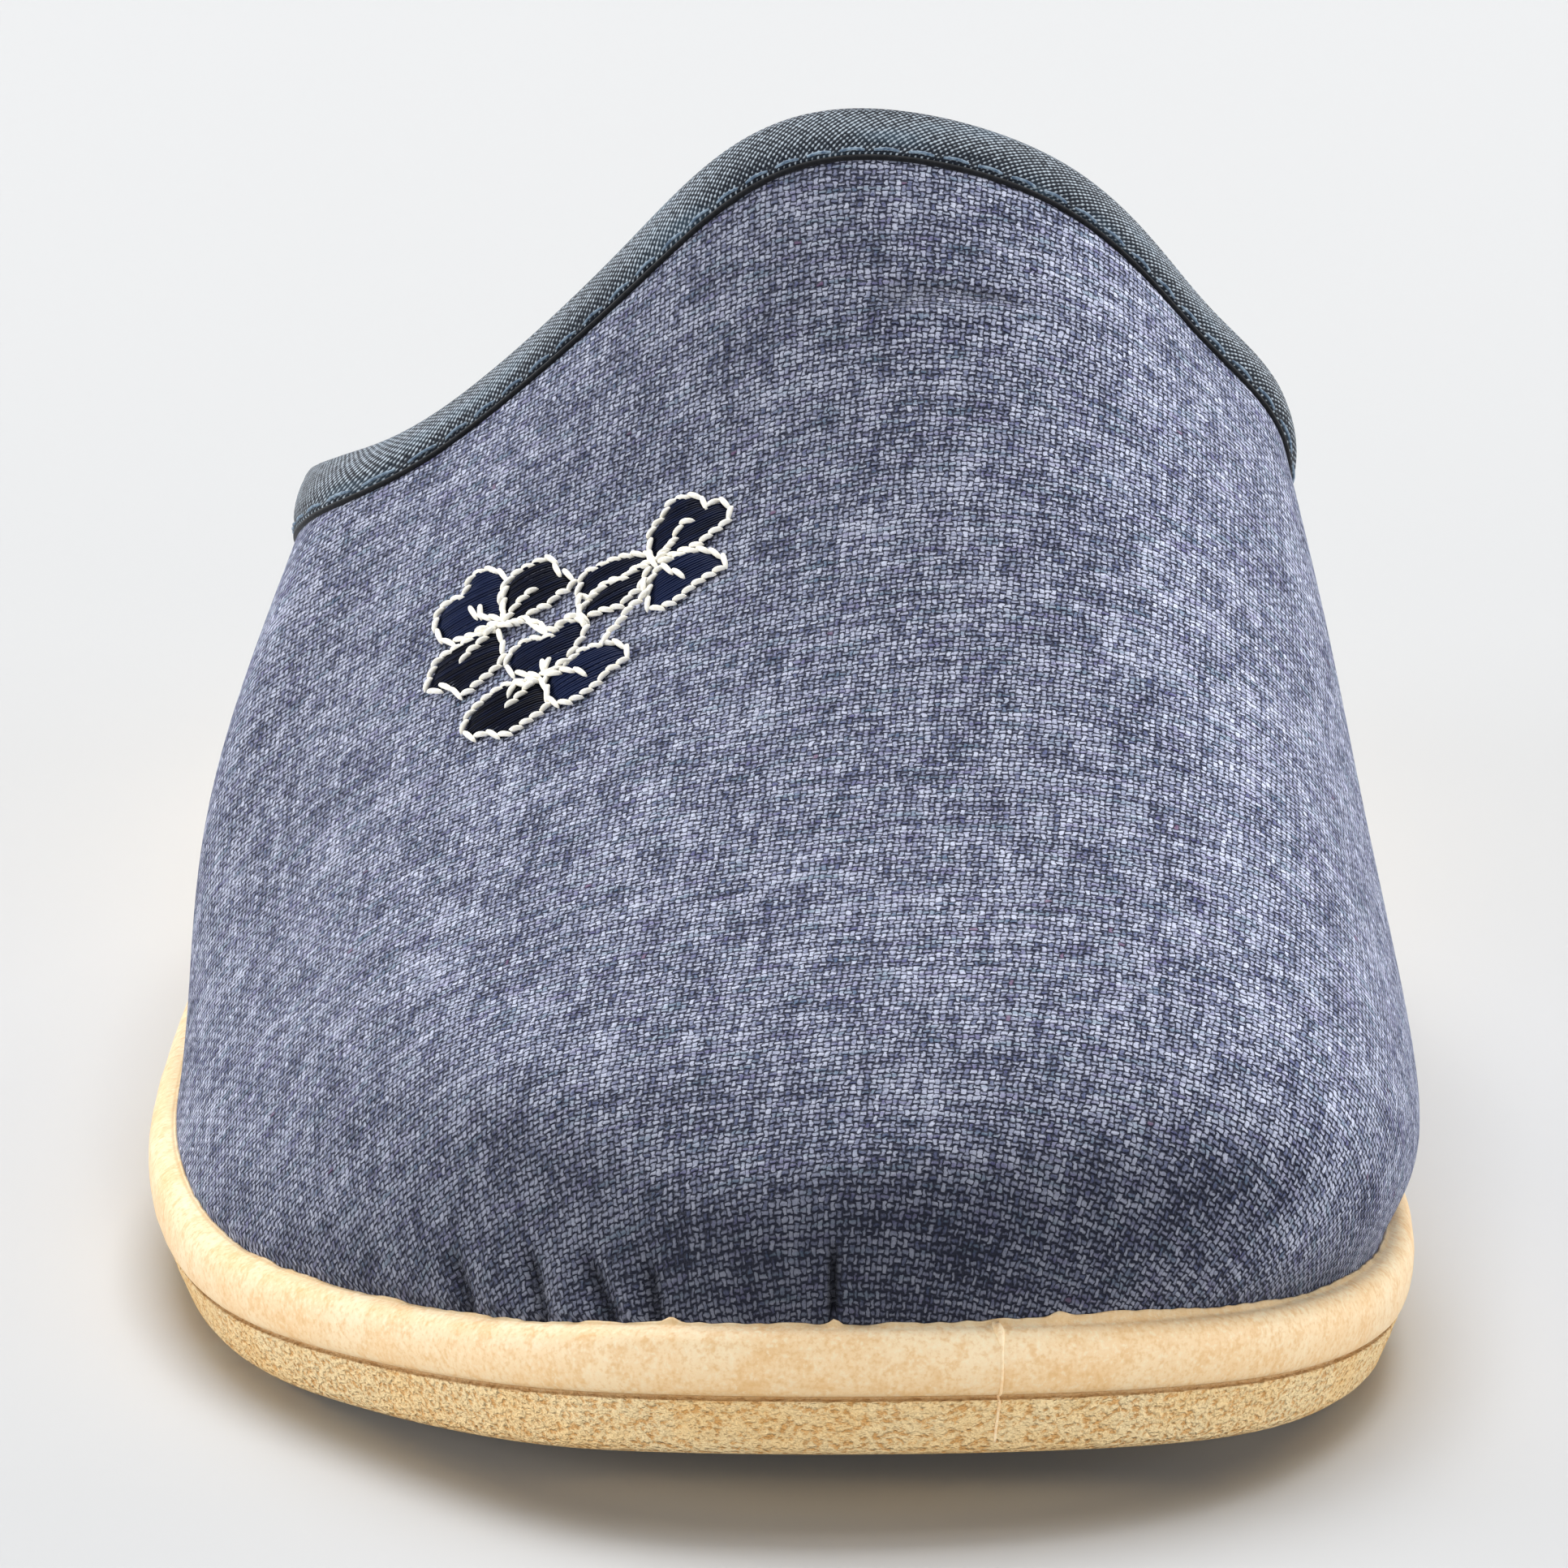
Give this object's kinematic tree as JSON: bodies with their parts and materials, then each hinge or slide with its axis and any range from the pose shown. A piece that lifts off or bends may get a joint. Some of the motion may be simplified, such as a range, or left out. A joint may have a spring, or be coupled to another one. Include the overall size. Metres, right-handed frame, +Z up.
{
  "type": "mule slipper",
  "caption": "Open-heeled house slipper for the right foot: cloth vamp with bound collar, insole and moulded sole with foxing band.",
  "frame": {"origin": "on the floor under the middle of the part's plan", "axes": "+Y towards the heel, +X towards the inner (big toe) side, +Z up"},
  "size_m": [0.0994, 0.2524, 0.0772],
  "materials": {
    "sole": "satin moulded, pebbled below the groove",
    "upper": "plain weave, heathered blue",
    "collar_binding": "twill tape",
    "insole": "cloth covered"
  },
  "bodies": {
    "root": {"sole": "sole", "upper": "upper", "collar_binding": "collar_binding", "insole": "insole"}
  },
  "joints": []
}
